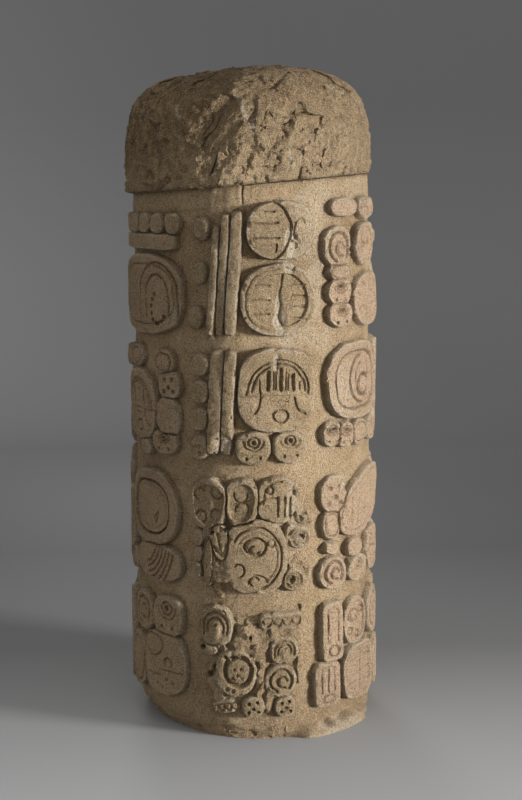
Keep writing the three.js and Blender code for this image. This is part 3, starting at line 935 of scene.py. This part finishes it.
def cap_roughness(angle, z, points, share):
    """How far the cap's rough surface lies below its plain form, and from 0 to 1 its hollows and crests.

    Scoops at the spalls, broken facets of two sizes that lean to the right, ridges, pits and grain.
    """
    scoop = np.zeros(angle.shape)
    for spot_angle, spot_z, reach, tall, deep in CAP_SPALLS:
        upright = np.clip(1 - ((z - spot_z) / tall) ** 2, 0, 1)
        scoop = scoop + deep * nearness(angle, spot_angle, reach) * upright
    swerve = 9 * noise(points, 34, 87)
    for *line, width, deep in CAP_VALLEYS:
        away = apart_from_line(angle, z, line, CAP_MM_PER_DEGREE, swerve)[0]
        scoop = scoop + deep * smooth((1 - 2 * away / width) * 1.3)
    bent = points + 10 * np.stack([noise(points, 30, 76), noise(points, 30, 77), noise(points, 30, 78)], -1)
    across, into, up = bent[..., 0], bent[..., 1], bent[..., 2]
    leaned = np.stack([across * 0.8 - up * 0.5, into, 0.6 * (up + 0.6 * across)], -1)
    broad = facets(leaned, 62, 71)
    small = facets(leaned, 24, 72)
    ridges = np.abs(layered_noise(leaned, 16, 74, 3))
    pits = smooth((noise(points, 8, 79) - 0.35) / 0.2)
    fine = layered_noise(points, 8, 81, 2)
    rugged = 0.6 + 0.4 * smooth(0.6 + 1.6 * noise(points, 130, 83) + 0.5 * nearness(angle, -5, 50))
    dragged = noise(points * STREAKED, 7, 55) * nearness(angle, -60, 60)
    depth = share * scoop + rugged * (6 + 7 * broad + 4 * small + 4.5 * ridges + 1.8 * pits) + 1.3 * fine
    depth = depth + 2.2 * dragged
    # The hollows take painted shade, partly grime, and the crests painted highlights.
    hollow = np.clip(0.7 * ridges - 0.15, 0, 0.5) + 0.25 * np.clip(small, 0, 1) + 0.45 * pits
    hollow = hollow + np.clip(dragged - 0.15, 0, 0.6)
    crest = smooth((0.1 - ridges) / 0.1) * smooth((0.4 - small - broad) / 0.6)
    crest = crest + smooth((-0.1 - dragged) / 0.4)
    return depth, rugged * np.clip(hollow, 0, 1), rugged * np.clip(crest, 0, 1)


def sculpt(sizes):
    """The carved surface: a grid of points in millimetres, by row, column and coordinate."""
    angle, radius, z, on_cap, edge = column_surface(sizes)
    shaft = sizes.shaft_radius * MM
    relief = carve(angle, z, sizes)[0]
    free = smooth((z - 4) / 18) * smooth((edge - z) / 3) * (1 - on_cap)
    points = around(radius, angle, z)
    cap_share = smooth((radius - 0.35 * shaft) / (0.4 * shaft))
    rough = cap_roughness(angle, z, points, cap_share)[0]
    strata = noise(points * np.array([0.18, 0.18, 1.0]), 8, 94)
    foot_rough = 3 + 3 * layered_noise(points, 26, 91) + 3 * facets(points, 30, 93) + 3 * strata
    foot_rough = foot_rough * (1 - smooth((z - 10) / 46))
    flake = smooth(nearness(angle, FLAKE_ANGLE, 32) / 0.5)
    flake = flake * (1 - smooth((z - 18 + 8 * noise(points, 25, 92)) / 11))
    radial = radius + free * relief - on_cap * rough * np.clip(cap_share + 0.15, 0, 1)
    radial = radial - (1 - on_cap) * (foot_rough * smooth(z / 6) - FLAKE_DEPTH * flake)
    radial = radial - crack_depth(angle, z, shaft)
    lowered = on_cap * (1 - cap_share) * rough * 0.7
    ledge = (1 - on_cap) * smooth((z - edge + 46) / 4) * 2.2 * smooth((-4 - angle_apart(angle, 0)) / 1.2)
    radial = radial + ledge * (angle_apart(angle, 0) > -120)
    surface = around(radial, angle, z - lowered)
    surface[..., 0] += on_cap * sizes.cap_shift * MM
    return surface


def closed_mesh(name, points, crown):
    """A mesh from a grid that wraps round, closed by a fan at its foot and another at its crown."""
    rows, columns = points.shape[:2]
    foot = points[0].mean(0)
    vertices = np.concatenate([points.reshape(-1, 3), [foot], [crown]]) / MM
    index = np.arange(rows * columns).reshape(rows, columns)
    beside = np.roll(index, -1, 1)
    quads = np.stack([index[:-1], beside[:-1], beside[1:], index[1:]], -1).reshape(-1, 4)
    halves = np.concatenate([quads[:, [0, 1, 2]], quads[:, [0, 2, 3]]])
    foot_fan = np.stack([np.full(columns, rows * columns), beside[0], index[0]], -1)
    crown_fan = np.stack([np.full(columns, rows * columns + 1), index[-1], beside[-1]], -1)
    triangles = np.concatenate([halves, foot_fan, crown_fan]).astype(np.int32)
    mesh = bpy.data.meshes.new(name)
    mesh.vertices.add(len(vertices))
    mesh.vertices.foreach_set("co", vertices.astype(np.float32).ravel())
    mesh.loops.add(triangles.size)
    mesh.loops.foreach_set("vertex_index", triangles.ravel())
    mesh.polygons.add(len(triangles))
    mesh.polygons.foreach_set("loop_start", np.arange(0, triangles.size, 3, dtype=np.int32))
    mesh.update(calc_edges=True)
    mesh.validate()
    return mesh


def thin_out(piece, triangles, keep):
    """Collapses the edges that matter least, and fewer of them where the kept weight is high."""
    group = piece.vertex_groups.new(name="thin out")
    levels = np.round(keep * 4).astype(int)
    for level in range(5):
        group.add(np.nonzero(levels == level)[0].tolist(), 1 - level / 5, "REPLACE")
    thinner = piece.modifiers.new("thin out", "DECIMATE")
    thinner.ratio = triangles / len(piece.data.polygons)
    thinner.vertex_group = group.name
    thinner.vertex_group_factor = THINNING_WEIGHT
    bpy.context.view_layer.update()
    graph = bpy.context.evaluated_depsgraph_get()
    thinned = bpy.data.meshes.new_from_object(piece.evaluated_get(graph))
    piece.modifiers.remove(thinner)
    piece.vertex_groups.remove(group)
    piece.data = thinned


def store(mesh, name, values):
    """Keeps one number for each vertex, for the material to read."""
    mesh.attributes.new(name, "FLOAT", "POINT").data.foreach_set("value", values.astype(np.float32))


def record_finish(piece, sizes):
    """Stores where the stone is hollow, edged, broken, a face or cap, worked out at each vertex. The hollow
    share, for painted shade, also takes a painted shadow under the cap's lip and the cracks; on the cap the
    edge share is its crests, for painted highlights.
    """
    co = np.zeros(len(piece.data.vertices) * 3, np.float32)
    piece.data.vertices.foreach_get("co", co)
    points = co.reshape(-1, 3).astype(float) * MM
    angle = np.degrees(np.arctan2(points[:, 0], -points[:, 1]))
    z = points[:, 2]
    edge_z = (sizes.cap_edge_height + sizes.cap_edge_slant * np.sin(np.radians(angle))) * MM
    on_cap = smooth((z - edge_z + 2) / 4)
    hollow, edge, broken, face, bleached = carve(angle, z, sizes)[1:]
    # A band just under the cap's lip, for a painted shadow there; the cracks and holes get painted shade
    # too.
    under_cap = np.exp(-(((z - edge_z) / 5) ** 2))
    cracked = crack_depth(angle, z, sizes.shaft_radius * MM) / 9
    cap_hollow, cap_crest = cap_roughness(angle, z, points, on_cap)[1:]
    hollow = np.where(on_cap > 0.5, cap_hollow, hollow)
    veins = smooth((0.06 - np.abs(layered_noise(points, 90, 85, 3))) / 0.05)
    veins = veins * smooth((noise(points, 70, 86) - 0.1) / 0.3)
    flake = nearness(angle, FLAKE_ANGLE, 36) * (1 - smooth((z - 20) / 12))
    scratched = 0.45 * veins
    for *line, width in SCRATCHES:
        away = apart_from_line(angle, z, line, CAP_MM_PER_DEGREE, 5 * noise(points, 20, 88))[0]
        scratched = np.maximum(scratched, smooth(1.6 - 2 * away / width))
    broken = np.maximum(broken * (1 - on_cap), np.maximum(scratched * on_cap, 0.75 * flake))
    rosy = smooth((angle - 24) / 12) * smooth((100 - angle) / 20) + 0.5 * smooth((-30 - angle) / 12)
    store(piece.data, "hollow", np.clip(np.maximum(hollow, np.maximum(0.7 * under_cap, cracked)), 0, 1))
    store(piece.data, "edge", np.where(on_cap > 0.5, cap_crest, edge))
    store(piece.data, "broken", broken)
    store(piece.data, "bleached", bleached * (1 - on_cap))
    store(piece.data, "rosy", rosy * face * (1 - on_cap))
    store(piece.data, "face", face * (1 - on_cap))
    store(piece.data, "on_cap", on_cap)


def grey(shade):
    """A grey with no colour in it."""
    return (shade, shade, shade, 1)


def shader_tree(name):
    """An empty material's nodes and links, with its Principled BSDF."""
    material = bpy.data.materials.new(name)
    material.use_nodes = True
    tree = material.node_tree
    return material, tree, tree.nodes["Principled BSDF"]


def noise_node(tree, place, scale, detail, roughness=0.55, distortion=0.0):
    """A noise texture on the object's own coordinates."""
    node = tree.nodes.new("ShaderNodeTexNoise")
    node.inputs["Scale"].default_value = scale
    node.inputs["Detail"].default_value = detail
    node.inputs["Roughness"].default_value = roughness
    node.inputs["Distortion"].default_value = distortion
    tree.links.new(place, node.inputs["Vector"])
    return node.outputs["Fac"]


def spread(tree, value, low, high, out_low=0.0, out_high=1.0):
    """Stretches a range of a value to another range, clamped."""
    node = tree.nodes.new("ShaderNodeMapRange")
    for socket, number in zip(("From Min", "From Max", "To Min", "To Max"), (low, high, out_low, out_high)):
        node.inputs[socket].default_value = number
    tree.links.new(value, node.inputs["Value"])
    return node.outputs["Result"]


def combine(tree, operation, first, second):
    """Two values, or a value and a number, put together."""
    node = tree.nodes.new("ShaderNodeMath")
    node.operation = operation
    for socket, value in zip(node.inputs, (first, second)):
        if isinstance(value, (int, float)):
            socket.default_value = value
        else:
            tree.links.new(value, socket)
    return node.outputs["Value"]


def blend_colour(tree, share, base, over, mode="MIX"):
    """One colour laid over another by a share. Either may be a plain colour."""
    node = tree.nodes.new("ShaderNodeMix")
    node.data_type = "RGBA"
    node.blend_type = mode
    sockets = {s.identifier: s for s in node.inputs}
    if isinstance(share, (int, float)):
        sockets["Factor_Float"].default_value = share
    else:
        tree.links.new(share, sockets["Factor_Float"])
    for name, colour in (("A_Color", base), ("B_Color", over)):
        if isinstance(colour, bpy.types.NodeSocket):
            tree.links.new(colour, sockets[name])
        else:
            sockets[name].default_value = colour
    return next(s for s in node.outputs if s.identifier == "Result_Color")


def attribute(tree, name):
    """A number stored on the mesh."""
    node = tree.nodes.new("ShaderNodeAttribute")
    node.attribute_name = name
    return node.outputs["Fac"]


def limestone(colours):
    """Dry limestone: mottled buff, brown patina, pink faces and pale breaks, with grime and painted shade in
    the hollows, painted highlights on the lobes' edges and the cap's crests, and on the cap painted shade to
    the upper left and painted light to the lower right.
    """
    material, tree, shader = shader_tree("limestone")
    place = tree.nodes.new("ShaderNodeTexCoord").outputs["Object"]
    stored = ("hollow", "edge", "broken", "bleached", "rosy", "face", "on_cap")
    hollow, edge, broken, bleached, rosy, face, on_cap = (attribute(tree, name) for name in stored)

    def times(first, second):
        return combine(tree, "MULTIPLY", first, second)

    def plus(first, second):
        return combine(tree, "ADD", first, second)

    def ramp(value, *limits):
        return spread(tree, value, *limits)

    broad = noise_node(tree, place, 3.2, 5, 0.6, 0.4)
    middle = noise_node(tree, place, 15, 6, 0.62, 0.3)
    fine = noise_node(tree, place, 95, 6, 0.76)
    grit = noise_node(tree, place, 330, 3, 0.8)

    apart = tree.nodes.new("ShaderNodeSeparateXYZ")
    tree.links.new(place, apart.inputs["Vector"])
    upper_left = combine(tree, "SUBTRACT", apart.outputs["Z"], times(apart.outputs["X"], 0.3))
    plain_face = combine(tree, "SUBTRACT", face, rosy)
    browned = times(on_cap, ramp(middle, 0.36, 0.62, 0.95, 0.6))
    edge_below_cap = combine(tree, "SUBTRACT", edge, on_cap)

    # From the dressed stone up, the share of each colour that lies over what is below it
    layers = (
        (ramp(middle, 0.36, 0.66), colours.light),
        (times(ramp(broad, 0.47, 0.66), 0.6), colours.brown),
        (times(plain_face, ramp(middle, 0.35, 0.62, 0.62, 0.25)), colours.patina),
        (times(rosy, ramp(middle, 0.35, 0.6, 0.75, 0.3)), colours.pink),
        # Painted shade, partly brown patina: the cap darker towards its top and its left, away from the key
        # light.
        (times(browned, ramp(upper_left, 1.23, 1.42, 0.05, 1.0)), colours.brown),
        # Ochre grains, and ochre on the cap's crests as a painted highlight.
        (times(on_cap, plus(edge, ramp(fine, 0.45, 0.65, 0, 0.4))), colours.ochre),
        # Painted light: the cap paler towards its lower right, where the key light falls.
        (times(on_cap, ramp(upper_left, 1.24, 1.4, 0.75, 0.0)), colours.light),
        # A pale line along the lobes' edges: partly worn arrises, partly a painted highlight.
        (times(edge_below_cap, ramp(middle, 0.4, 0.6, 0.4, 0.95)), colours.pale),
        (times(bleached, ramp(fine, 0.38, 0.6, 0.3, 1.3)), colours.pale),
        (ramp(plus(broken, times(fine, 1.8)), 1.15, 1.85, 0, 0.95), colours.pale),
        (ramp(fine, 0.56, 0.7, 0, 0.7), colours.light),
        # Painted shade in the hollows, partly grime.
        (times(hollow, ramp(fine, 0.3, 0.7, 0.92, 0.5)), colours.dirt_and_shade),
        (ramp(fine, 0.44, 0.32, 0, 0.6), colours.brown),
        (ramp(grit, 0.49, 0.34, 0, 0.85), colours.dirt_and_shade),
        (ramp(grit, 0.53, 0.68, 0, 0.75), colours.pale),
    )
    colour = tuple(colours.buff)
    for share, over in layers:
        colour = blend_colour(tree, share, colour, tuple(over))
    tree.links.new(colour, shader.inputs["Base Color"])

    tree.links.new(ramp(middle, 0.3, 0.7, 0.98, 0.86), shader.inputs["Roughness"])
    shader.inputs["Specular IOR Level"].default_value = 0.2

    height = plus(plus(times(fine, 2.0), times(grit, 1.5)), times(middle, 0.9))
    height = times(height, plus(times(on_cap, 0.7), 1.0))
    bump = tree.nodes.new("ShaderNodeBump")
    bump.inputs["Strength"].default_value = 1.0
    bump.inputs["Distance"].default_value = 0.01
    tree.links.new(height, bump.inputs["Height"])
    tree.links.new(bump.outputs["Normal"], shader.inputs["Normal"])
    return material


def link(name, data):
    """A new object in the scene."""
    piece = bpy.data.objects.new(name, data)
    bpy.context.scene.collection.objects.link(piece)
    return piece


class CarveColumn(bpy.types.Operator):
    """Carves the column and finishes it as limestone."""

    bl_idname = "column.carve"
    bl_label = "Carve column"

    def execute(self, context):
        sizes = context.scene.column_sizes
        points = sculpt(sizes)
        crown = points[-1].mean(0)
        crown[2] = points[-1, :, 2].mean() + 0.4
        piece = link("carved_limestone_column", closed_mesh("carved_limestone_column", points, crown))
        turn = np.degrees(np.arctan2(points[..., 0], -points[..., 1]))
        keep = np.append(smooth((125 - np.abs(turn)) / 35).ravel(), [0, 0])
        thin_out(piece, TRIANGLES, keep)
        piece.data.shade_smooth()
        piece.data.set_sharp_from_angle(angle=math.radians(SHARP_ANGLE))
        record_finish(piece, sizes)
        piece.data.materials.append(limestone(context.scene.stone_colours))
        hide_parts(COLUMN_NODE)
        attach(piece, BODY)
        return {"FINISHED"}


# The photograph's frame and viewpoint
FRAME_WIDTH, FRAME_HEIGHT = 522, 800
CENTRE_ROW = 256
CENTRE_COLUMN = 251.3
FOCAL_PIXELS = 1434.0
EYE_DISTANCE = 3.364
EYE_HEIGHT = 1.269
CAMERA_PITCH = 3.67
CAMERA_ROLL = 0.51
SENSOR = 36.0


def place_camera():
    """A camera at the photograph's eye point: tilted down a little, with the rest of the view as shift."""
    data = bpy.data.cameras.new("camera")
    data.sensor_width = SENSOR
    data.lens = FOCAL_PIXELS / FRAME_HEIGHT * SENSOR
    data.shift_y = -(FRAME_HEIGHT / 2 - CENTRE_ROW) / FRAME_HEIGHT
    data.shift_x = (FRAME_WIDTH / 2 - CENTRE_COLUMN) / FRAME_HEIGHT
    data.clip_start, data.clip_end = 0.1, 60
    camera = link("camera", data)
    camera.location = (0, -EYE_DISTANCE, EYE_HEIGHT)
    camera.rotation_euler = Euler((math.radians(90 - CAMERA_PITCH), 0, 0), "XYZ")
    camera.rotation_euler.rotate_axis("Z", math.radians(-CAMERA_ROLL))
    bpy.context.scene.camera = camera


def area_light(name, place, target, width, height, power, fan):
    """A soft rectangular light at a place, turned to its target, that fans out by an angle."""
    data = bpy.data.lights.new(name, "AREA")
    data.shape = "RECTANGLE"
    data.size, data.size_y = width, height
    data.energy = power
    data.spread = math.radians(fan)
    lamp = link(name, data)
    lamp.visible_camera = False
    lamp.location = place
    lamp.rotation_euler = (Vector(target) - Vector(place)).to_track_quat("-Z", "Y").to_euler()


def backdrop_mesh():
    """A pale floor that sweeps up into a wall: a quarter-round cove between two flat runs."""
    front, cove_start, cove_radius, top, half_width = -16.0, 3.0, 1.6, 7.0, 14.0
    turn = np.linspace(0, np.pi / 2, 24)
    y = np.concatenate([[front], cove_start + cove_radius * np.sin(turn), [cove_start + cove_radius]])
    z = np.concatenate([[0], cove_radius * (1 - np.cos(turn)), [top]])
    x = np.linspace(-half_width, half_width, 2)
    points = np.stack(np.broadcast_arrays(x[None], y[:, None], z[:, None]), -1).reshape(-1, 3)
    rows = np.arange(len(y) - 1) * 2
    faces = np.stack([rows, rows + 1, rows + 3, rows + 2], -1)
    mesh = bpy.data.meshes.new("backdrop")
    mesh.from_pydata(points.tolist(), [], faces.tolist())
    mesh.shade_smooth()
    return mesh


# The lights: their place, what they aim at, width, height, power and the angle they fan out by
LIGHTS = (
    ("key light", (7.3, -2.85, 1.3), (0, 0, 0.75), 1.5, 1.2, 78, 44),
    ("fill light", (-3.2, -1.6, 1.0), (0, 0, 0.75), 1.6, 1.8, 10, 180),
    ("top light", (0, -1.6, 3.6), (0, -0.6, 0), 2.0, 1.6, 10, 180),
    ("back light", (-0.8, 4.1, 1.3), (0, 0, 0.75), 1.2, 1.2, 6, 50),
)
ROOM_GREY, ROOM_STRENGTH = 0.5, 0.78

# The backdrop's grey, and how it changes: along which axis, from where to where, and to what. The changes
# are painted light: a pale pool on the floor in front, darker behind the column, and paler again up the cove
# and the wall.
PAPER_GREY = 0.47
BACKDROP_PAINTED_FALLOFF = (
    ("Y", -0.7, 0.35, 0.18),
    ("Y", 0.35, 1.3, 0.16),
    ("Y", 1.3, 2.9, 0.31),
    ("Z", 0.02, 0.7, 0.33),
)


class SetStage(bpy.types.Operator):
    """Sets the pale floor, the soft lights and the camera."""

    bl_idname = "column.stage"
    bl_label = "Set stage"

    def execute(self, context):
        backdrop = link("backdrop", backdrop_mesh())
        material, tree, shader = shader_tree("backdrop paper")
        place = tree.nodes.new("ShaderNodeTexCoord").outputs["Object"]
        apart = tree.nodes.new("ShaderNodeSeparateXYZ")
        tree.links.new(place, apart.inputs["Vector"])
        paper = grey(PAPER_GREY)
        # Painted light: the paper darkens from a pale pool in front to behind the column.
        for axis, start, end, shade in BACKDROP_PAINTED_FALLOFF:
            share = spread(tree, apart.outputs[axis], start, end)
            paper = blend_colour(tree, share, paper, grey(shade))
        tree.links.new(paper, shader.inputs["Base Color"])
        shader.inputs["Roughness"].default_value = 0.9
        backdrop.data.materials.append(material)
        for light in LIGHTS:
            area_light(*light)
        world = bpy.data.worlds.new("studio")
        world.use_nodes = True
        light_all_round = world.node_tree.nodes["Background"]
        light_all_round.inputs["Color"].default_value = grey(ROOM_GREY)
        light_all_round.inputs["Strength"].default_value = ROOM_STRENGTH
        context.scene.world = world
        context.scene.view_settings.view_transform = "Standard"
        place_camera()
        return {"FINISHED"}


class ColumnPanel(bpy.types.Panel):
    """Lists the column's tools, sizes and colours."""

    bl_idname = "VIEW3D_PT_column"
    bl_label = "Carved column"
    bl_space_type = "VIEW_3D"
    bl_region_type = "UI"
    bl_category = "Column"

    def draw(self, context):
        for operator in (SetStage, CarveColumn):
            self.layout.operator(operator.bl_idname)
        for group in (context.scene.column_sizes, context.scene.stone_colours):
            for name in group.bl_rna.properties.keys():
                if name not in ("rna_type", "name"):
                    self.layout.prop(group, name)


CLASSES = (ColumnSizes, StoneColours, SetStage, CarveColumn, ColumnPanel)


def register():
    for cls in CLASSES:
        bpy.utils.register_class(cls)
    bpy.types.Scene.column_sizes = bpy.props.PointerProperty(type=ColumnSizes)
    bpy.types.Scene.stone_colours = bpy.props.PointerProperty(type=StoneColours)


def unregister():
    del bpy.types.Scene.stone_colours
    del bpy.types.Scene.column_sizes
    for cls in reversed(CLASSES):
        bpy.utils.unregister_class(cls)


def main():
    register()
    bpy.ops.column.stage()
    bpy.ops.column.carve()


if __name__ == "__main__":
    main()
